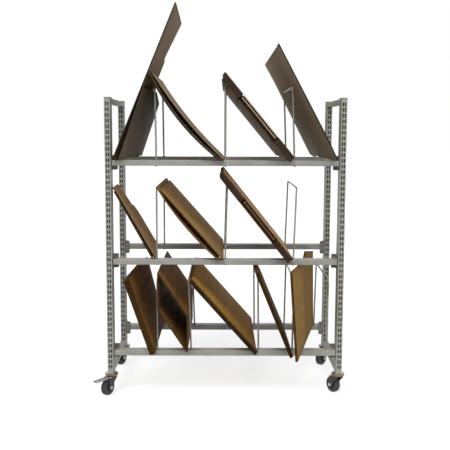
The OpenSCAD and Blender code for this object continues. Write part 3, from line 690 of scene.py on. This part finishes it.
def short_sheet():
    """Short sheet beside the tall one, turned a little, with its upper rear corner cut off."""
    depth, turn = 672.0, math.radians(3.2)
    foot = (TALL_FOOT[0] + 9.0, TALL_FOOT[1])
    cut = [(0, depth), (60, 664), (285, 648), (338, 430)]
    line = right_line(foot, tall_lean() - 0.8, 338.0)
    rear = shifted(line, math.sin(turn) * depth)
    leaf = Leaf(line, rear, SHEETS_FRONT, SHEETS_FRONT + depth * math.cos(turn))
    maker = Maker(painted_shade=short_sheet_painted_shade)
    sheet(maker, leaf, -BOARD / 2, 0.0, leaf.length, 0.0, leaf.depth, flute="s", step_s=40.0, rim=TRIM,
          far=cut)
    maker.build("short_sheet", [KRAFT_GREY, CORE_DUN, CUT_SHADE], "load_sheet_top_short", ["sheet_top_short"])


def flap_back(i, depth):
    """How far the front flaps of carton number i lie behind its front. Two cartons have a short one."""
    return (0.0, 0.0 if i in (0, 2, 3, 5) else depth, 0.0)


def flat_cartons_top():
    """Six flattened cartons that lean on the middle hoop."""
    foot, length = 276.0, 474.0
    front, rear = -70.0, 990.0
    cuts = (118.0, 356.0)
    line = lean_line(foot, TOP, rest_lean(foot, TOP, bar_at(TOP, 0, 0)), length)
    far_end = [(301.6, 1069.6), (-15.0, 1447.0)]
    straight = [(-front, line), (1014.0, shifted(line, 7.1))]
    leaf = Leaf(hanging(line, 6.0, -7.0), far_end, front, rear, between=straight)
    maker = Maker()
    for i in range(6):
        back = flap_back(i, 34.0)
        end = leaf.length - (13.0 if i < 3 else 0.0) + jitter(1.5)
        carton(maker, leaf, layer(i), abs(jitter(1)), end, abs(jitter(3)), leaf.depth - abs(jitter(6)), 150.0,
               cuts, back)
        if back[1] == 0.0:
            fold_edge(maker, leaf, layer(i), cuts[0] + 4, cuts[1] - 4, 14.0 if i == 2 else 3.0)
    maker.build("flat_cartons_top", [KRAFT_RED, CORE_DARK, FOLD_LIGHT], "load_cartons_top", ["cartons_top"])


def wide_sheet():
    """Wide sheet on the right hoop, bowed at its front and at its far end."""
    foot = INNER_X - BRACKET_REACH - BRACKET_CLEAR - STEP * math.cos(math.radians(28))
    front, rear = -70.0, 1030.0
    near_end = [(491.1, 1086.1), (423.4, 1219.5), (223.9, 1590.0)]
    far_end = [(526.6, 1061.6), (228.2, 1585.5)]
    straight = [(foot, beam_top(TOP)), (225.8, 1588.2)]
    leaf = Leaf(near_end, far_end, front, rear, between=[(130.0, straight), (1034.0, straight)])
    # Painted shade: darker towards the foot
    maker = Maker(painted_shade=lambda s, t: 0.5 * np.clip((420 - s) / 380, 0, 1))
    cut_front_shade(maker, leaf, layer(0), 0.0, leaf.length, 0.0, TRIM)
    sheet(maker, leaf, layer(0), 0.0, leaf.length, 0.0, leaf.depth, flute="s", step_s=40.0, step_t=36.0,
          rim=TRIM)
    maker.build("wide_sheet", [KRAFT_WIDE, CORE_DUN, CUT_SHADE], "load_sheets_top_wide", ["sheets_top_wide"])


bent_sheets()
tall_sheet()
short_sheet()
flat_cartons_top()
wide_sheet()

# Middle level: foot, lean, length, depth and torn rear edge of the two sheets at the left
MID_LEFT_FRONT = 24.0
MID_LEFT_TURN = math.radians(2.5)
MID_LEFT = (
    (-321.7, 30.0, 375.0, 404.0,
     [(0, 404), (141, 404), (209, 397), (243, 360), (252, 308), (293, 291), (347, 264), (375, 220)]),
    (-334.3, 29.1, 350.0, 380.0,
     [(0, 380), (200, 372), (240, 300), (350, 200)]),
)


def mid_left_sheet():
    """Two torn sheets that lean to the left."""
    maker = Maker()
    for foot, lean, size, depth, torn in MID_LEFT:
        line = lean_line(foot, MID, lean, size)
        rear = shifted(line, -math.sin(MID_LEFT_TURN) * depth)
        leaf = Leaf(line, rear, MID_LEFT_FRONT, MID_LEFT_FRONT + depth)
        sheet(maker, leaf, layer(0), 0.0, leaf.length, 0.0, leaf.depth, flute="s", step_t=60.0, rim=TRIM,
              far=torn)
        cut_front_shade(maker, leaf, layer(0), 0.0, leaf.length, 0.0, TRIM)
    maker.build("mid_left_sheet", [KRAFT_DUN, CORE_TAN, CUT_SHADE], "load_sheet_mid_left", ["sheet_mid_left"])


def open_carton():
    """Opened carton: a lower sheet bent over the hoop, and an upper one that gapes at the foot."""
    foot = (-31.0, beam_top(MID))
    rest = on_bar(bar_at(MID, -2, 0), 32)
    sag = 16.0
    rear = SHEETS_FRONT + 660.0
    maker = Maker()
    line = arc_line(foot, rest, sag, 5.0, BOARD / 2)
    leaf = Leaf(line, line, SHEETS_FRONT, rear)
    sheet(maker, leaf, 0.0, 0.0, leaf.length, 0.0, leaf.depth, flute="s", step_s=20.0)
    line = [(foot[0] + 21.3, foot[1]), arc_line(foot, rest, sag, 0.0, STEP)[-1]]
    leaf = Leaf(line, line, SHEETS_FRONT, rear)
    sheet(maker, leaf, BOARD / 2, 0.0, leaf.length - 16, 0.0, leaf.depth, flute="s", step_s=40.0)
    maker.build("open_carton", [KRAFT_TAN, CORE_TAN], "load_carton_mid_open", ["carton_mid_open"])


def flat_cartons_mid():
    """Six flattened cartons that lean on the middle hoop."""
    foot, length = 275.0, 495.0
    front, rear = -56.0, 434.0
    cuts = (118.0, 346.0)
    line = lean_line(foot, MID, rest_lean(foot, MID, bar_at(MID, 0, 1.4)), length)
    leaf = Leaf(hanging(line, 6.0, -8.0), line, front, rear, between=[(60.0, line)])
    maker = Maker()
    for i in range(6):
        back = flap_back(i, 30.0)
        end = leaf.length - (12.0 if i < 3 else 0.0) - abs(jitter(3))
        # The uppermost carton is coated in the light fold colour: painted light on its upper face
        carton(maker, leaf, layer(i), abs(jitter(2)), end, abs(jitter(3)), leaf.depth - abs(jitter(5)), 90.0,
               cuts, back, coat=TRIM if i == 5 else COAT)
        if back[1] == 0.0:
            fold_edge(maker, leaf, layer(i), cuts[0] + 4, cuts[1] - 4, 14.0 if i == 2 else 3.0)
    maker.build("flat_cartons_mid", [KRAFT_RUST, CORE_DARK, FOLD_LIGHT_DIM], "load_cartons_mid", ["cartons_mid"])


mid_left_sheet()
open_carton()
flat_cartons_mid()


# Low level
def stacked_cartons_low():
    """Five sheets that stand beside the first hoop and lean to the left."""
    count, length = 5, 357.0
    front, rear = -50.0, 540.0
    foot = -2 * HOLE_PITCH - ROD - 0.6 - count * STEP * math.cos(math.radians(19.8))
    line = lean_line(foot, LOW, 19.0, length)
    far_end = lean_line(foot, LOW, 14.0, length)
    leaf = Leaf(hanging(line, 2.0, -8.0), far_end, front, rear, between=[(58.0, line)])
    maker = Maker()
    for i in range(count):
        end, start = leaf.length - abs(jitter(3)), abs(jitter(3))
        sheet(maker, leaf, layer(i), 0.0, end, start, leaf.depth - abs(jitter(4)), step_s=40.0)
    maker.build("stacked_cartons_low", [KRAFT_BROWN, CORE_TAN], "load_stack_low_left", ["stack_low_left"])


def rounded_loop(corners, radius):
    """Corners of a closed line, rounded, starting at the first corner."""
    steps = 5
    out = []
    n = len(corners)
    for i in range(n):
        p, a, b = (np.array(corners[k % n], dtype=float) for k in (i, i - 1, i + 1))
        ua, ub = (a - p) / np.linalg.norm(a - p), (b - p) / np.linalg.norm(b - p)
        for k in range(steps + 1):
            f = k / steps
            out.append(tuple(p + radius * (ua * (1 - f) ** 2 + ub * f ** 2)))
    return out


def sprung_sleeve():
    """Flattened carton that has sprung open to a slanting sleeve between two hoops."""
    panel, drop = 176.0, 203.0
    front, rear = -50.0, 600.0
    left, right = -2 * HOLE_PITCH + ROD + GAP + 2, -HOLE_PITCH - ROD - 9
    base = beam_top(LOW)
    corners = [(right, base), (right, base + panel), (left, base + panel + drop), (left, base + drop)]
    start = tuple((np.array(corners[0]) + np.array(corners[3])) / 2)
    ring = np.array([start] + rounded_loop(corners, 9.0) + [start])
    leaf = Leaf(ring, ring, front, rear, trace=ring_line)
    maker = Maker()
    sheet(maker, leaf, -BOARD / 2, 0.0, leaf.length, 0.0, leaf.depth, step_s=6.0)
    maker.build("sprung_sleeve", [KRAFT_BROWN, CORE_TAN], "load_sleeve_low", ["sleeve_low"])


def long_sheets_low():
    """Four sheets, with a slit in the uppermost near its front edge."""
    foot, length, count = 128.0, 441.0, 4
    front, rear = -40.0, 600.0
    line = lean_line(foot, LOW, rest_lean(foot, LOW, bar_at(LOW, -1, -1.9)), length)
    leaf = Leaf(hanging(line, 9.0, -8.0), line, front, rear, between=[(48.0, line)])
    # Painted shade: darker towards the foot
    maker = Maker(painted_shade=lambda s, t: 0.35 * np.clip(1 - s / 260, 0, 1))
    for i in range(count):
        upper = i == count - 1
        end, start = leaf.length - abs(jitter(3)), abs(jitter(3))
        sheet(maker, leaf, layer(i), 0.0, end, start, leaf.depth - abs(jitter(4)), step_s=40.0,
              rim=None if upper else TRIM)
        if not upper:
            cut_front_shade(maker, leaf, layer(i), 0.0, end, start, TRIM)
    # The slit as a thin dark strip: painted shade in its opening
    slit = np.array([44.0, 45.6])
    maker.grid(leaf.at, stops(176.0, 214.0, 12.0), slit, count * STEP - 1.2, count * STEP - 0.1, TRIM)
    maker.build("long_sheets_low", [KRAFT_LONG, CORE_TAN, CUT_SHADE], "load_sheets_low_long", ["sheets_low_long"])


def bundle_low_right():
    """Three sheets, their upper rear corner cut off."""
    foot, length = 291.0, 418.0
    front, rear = -100.0, 420.0
    cut = [(0, 520), (330, 520), (length, 330)]
    line = lean_line(foot, LOW, rest_lean(foot, LOW, bar_at(LOW, 1, -0.8)), length)
    leaf = Leaf(hanging(line, 1.0, -6.0), line, front, rear, between=[(108.0, line)])
    maker = Maker()
    for i in range(3):
        end, start = leaf.length - abs(jitter(3)), abs(jitter(3))
        sheet(maker, leaf, layer(i), 0.0, end, start, leaf.depth - abs(jitter(4)), step_s=40.0, far=cut)
    maker.build("bundle_low_right", [KRAFT_BROWN, CORE_TAN], "load_bundle_low", ["bundle_low"])


def tall_carton_low():
    """Two sheets turned across the bay. They stay under the middle beam, and a flap rises behind it."""
    x, z = 308.0, beam_top(LOW)
    turn = math.radians(12.2)
    front, depth = -175.0, math.cos(turn) * 688.0
    tip, under, flap = 278.4, 607.0, 417.0

    def foot(t, drop=0.0):
        return (x + math.tan(turn) * t, z - drop)

    near_end = [foot(0.0), (tip, 612.0)]
    far_end = [foot(672.0, 2.0), (446.0, 603.0)]
    between = [(t, [foot(t), (tip + 0.253 * t, under)]) for t in (180.0, 355.0)]
    between.append((flap, [foot(flap), (384.0, 642.0)]))
    leaf = Leaf(near_end, far_end, front, front + depth, between=between)
    # Painted shade: darker over the rear part, from a little short of half its depth
    maker = Maker(painted_shade=lambda s, t: 0.42 * np.clip((t - depth * 0.45) / 40, 0, 1))
    for i in range(2):
        end, start = leaf.length - abs(jitter(3)), abs(jitter(3))
        sheet(maker, leaf, layer(i), 0.0, end, start, leaf.depth - abs(jitter(4)), step_s=40.0, step_t=40.0)
    # Dark strips along two folds: painted shade in the creases
    for share in (0.50, 0.62):
        fold = depth * share
        across = np.array([fold - 2.6, fold + 2.6])
        maker.grid(leaf.at, stops(6.0, leaf.length - 8, 40.0), across, -0.25, 0.6, TRIM)
    maker.build("tall_carton_low", [KRAFT_GOLD, CORE_TAN, CUT_SHADE], "load_carton_low_tall", ["carton_low_tall"])


stacked_cartons_low()
sprung_sleeve()
long_sheets_low()
bundle_low_right()
tall_carton_low()


# Steel: dark insides behind the posts' slots and the brackets' holes, as painted shade, and darker rims round
# the slots
def upright(S, T, W):
    """Place of a grid that stands facing the front."""
    return np.stack([S, W, T], axis=-1)


def post_shade_linings():
    """Dark strips inside the posts, behind their slots: painted shade."""
    half, low, high = 10.5, 132.0, 1348.0
    maker = Maker()
    for x in (-POST_X, POST_X):
        for y in (62.0, 541.0):
            maker.grid(upright, np.array([x - half, x + half]), stops(low, high, 120.0), y, y + 1.0, 0)
    maker.build("post_shade_linings", [SHADE_DARK], "rack", [], smooth=False)


def slot_rim(maker, x, z, y):
    """Four thin strips round one slot, with their front at y."""
    rim, thick = 1.1, 0.2
    w, h = SLOT_W / 2, SLOT_H / 2
    sides = ((-w - rim, -w, -h - rim, h + rim), (w, w + rim, -h - rim, h + rim),
             (-w, w, h, h + rim), (-w, w, -h - rim, -h))
    for x0, x1, z0, z1 in sides:
        maker.grid(upright, np.array([x + x0, x + x1]), np.array([z + z0, z + z1]), y, y + thick, 0)


def slot_edges():
    """Rims round the slots of both columns, just clear of each face."""
    maker = Maker()
    columns = [side * POST_X + c for side in (-1, 1) for c in (-SLOT_COLUMN, SLOT_COLUMN)]
    for x in columns:
        for face, off in zip(FACES, (-0.25, 0.05, -0.25, 0.05)):
            for k in range(SLOT_ROWS):
                slot_rim(maker, x, POST_FOOT + SLOT_START + SLOT_PITCH * k, face + off)
    maker.build("slot_edges", [SLOT_EDGE], "rack", [], smooth=False)


def bracket_shades():
    """Dark squares behind the holes of the brackets: painted shade."""
    half, hole_x, hole_z = 4.5, 501.0, 24.0
    maker = Maker()
    for x in (-hole_x, hole_x):
        for z in (level + dz for level in (LOW, MID, TOP) for dz in (-hole_z, hole_z)):
            for y in (65.6, 489.4):
                maker.grid(upright, np.array([x - half, x + half]), np.array([z - half, z + half]),
                           y, y + 0.8, 0)
    maker.build("bracket_shades", [SHADE_DARK], "rack", [], smooth=False)


post_shade_linings()
slot_edges()
bracket_shades()

# Steel, castors: the frame's own meshes with their finish, by the longest start of the name that fits
FINISH = {
    "post_": STEEL, "post_caps": CAP, "foot_sockets": ZINC, "top_rails": STEEL, "foot_rails": STEEL,
    "beam_": RAIL, "beam_brackets": BRACKET_SHADED, "hoop_": WIRE, "castor_stems": ZINC, "dust_rings": COPPER,
    "fork_": FORK, "axle_": ZINC, "hub_": HUB, "tyre_": RUBBER, "brake_pedal_": PLATE,
}
for name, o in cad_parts.items():
    best = max((k for k in FINISH if name.startswith(k)), key=len, default=None)
    if best:
        o.data.materials.clear()
        o.data.materials.append(FINISH[best])

# Floor, lit a little of its own so that it looks white, and grey in shadow
FLOOR_HALF = 40
FLOOR_TONE = 0.5
FLOOR_LIFT = 0.72
mesh = bpy.data.meshes.new("floor")
corners = [(x * FLOOR_HALF, y * FLOOR_HALF, 0) for x, y in ((-1, -1), (1, -1), (1, 1), (-1, 1))]
mesh.from_pydata(corners, [], [(0, 1, 2, 3)])
floor = bpy.data.objects.new("floor", mesh)
bpy.context.scene.collection.objects.link(floor)
white, tree = new_material("floor_white")
tree.shader.inputs["Base Color"].default_value = grey(FLOOR_TONE)
tree.shader.inputs["Roughness"].default_value = 0.95
tree.shader.inputs["Specular IOR Level"].default_value = 0.0
glow, both = tree.nodes.new("ShaderNodeEmission"), tree.nodes.new("ShaderNodeAddShader")
tree.wire(tree.maths("MULTIPLY", tree.looked_at(), FLOOR_LIFT), glow.inputs["Strength"])
tree.wire(tree.shader.outputs["BSDF"], both.inputs[0])
tree.wire(glow.outputs["Emission"], both.inputs[1])
tree.wire(both.outputs["Shader"], tree.nodes["Material Output"].inputs["Surface"])
mesh.materials.append(white)

# World: white where it is looked at, soft as a light
world = bpy.data.worlds.new("studio")
bpy.context.scene.world = world
world.use_nodes = True
tree = NodeTree(world.node_tree)
out = tree.nodes.new("ShaderNodeOutputWorld")
soft, seen = tree.nodes.new("ShaderNodeBackground"), tree.nodes.new("ShaderNodeBackground")
mix = tree.nodes.new("ShaderNodeMixShader")
soft.inputs["Color"].default_value = (0.98, 0.99, 1.0, 1)
soft.inputs["Strength"].default_value = 0.35
seen.inputs["Color"].default_value = grey(1.0)
seen.inputs["Strength"].default_value = 1.0
tree.wire(tree.looked_at(), mix.inputs["Fac"])
tree.wire(soft.outputs["Background"], mix.inputs[1])
tree.wire(seen.outputs["Background"], mix.inputs[2])
tree.wire(mix.outputs["Shader"], out.inputs["Surface"])


def sun(name, azimuth, elevation, spread, strength):
    """A soft sun; azimuth 0 shines from the front, 90 from the left."""
    data = bpy.data.lights.new(name, "SUN")
    data.angle, data.energy = math.radians(spread), strength
    o = bpy.data.objects.new(name, data)
    a, e = math.radians(azimuth), math.radians(elevation)
    way = Vector((math.sin(a) * math.cos(e), math.cos(a) * math.cos(e), -math.sin(e)))
    o.rotation_euler = way.to_track_quat("-Z", "Y").to_euler()
    bpy.context.scene.collection.objects.link(o)


sun("key", 18, 52, 35, 1.75)
sun("fill", -35, 20, 60, 0.55)

# Camera, as fitted to the photograph: focal length and width in pixels, turns in degrees, place in mm
F_PX = 789.2408
PHOTO_PX = 450.0
SENSOR = 36.0
YAW, PITCH, ROLL = math.radians(-0.271), math.radians(6.882), math.radians(-0.188)
CAM_AT = metres((-18.0406, -3534.1675, 1221.5794))
level_right = Vector((math.cos(YAW), math.sin(YAW), 0))
ahead = Vector((-math.sin(YAW) * math.cos(PITCH), math.cos(YAW) * math.cos(PITCH), -math.sin(PITCH)))
level_up = Vector((-math.sin(YAW) * math.sin(PITCH), math.cos(YAW) * math.sin(PITCH), math.cos(PITCH)))
right = level_right * math.cos(ROLL) - level_up * math.sin(ROLL)
up = level_right * math.sin(ROLL) + level_up * math.cos(ROLL)
cam_data = bpy.data.cameras.new("camera")
cam_data.sensor_width = SENSOR
cam_data.lens = SENSOR * F_PX / PHOTO_PX
cam_data.clip_end = 100.0
cam = bpy.data.objects.new("camera", cam_data)
cam.matrix_world = Matrix((
    (right.x, up.x, -ahead.x, CAM_AT[0]),
    (right.y, up.y, -ahead.y, CAM_AT[1]),
    (right.z, up.z, -ahead.z, CAM_AT[2]),
    (0, 0, 0, 1),
))
bpy.context.scene.collection.objects.link(cam)
bpy.context.scene.camera = cam
bpy.context.scene.view_settings.view_transform = "Standard"
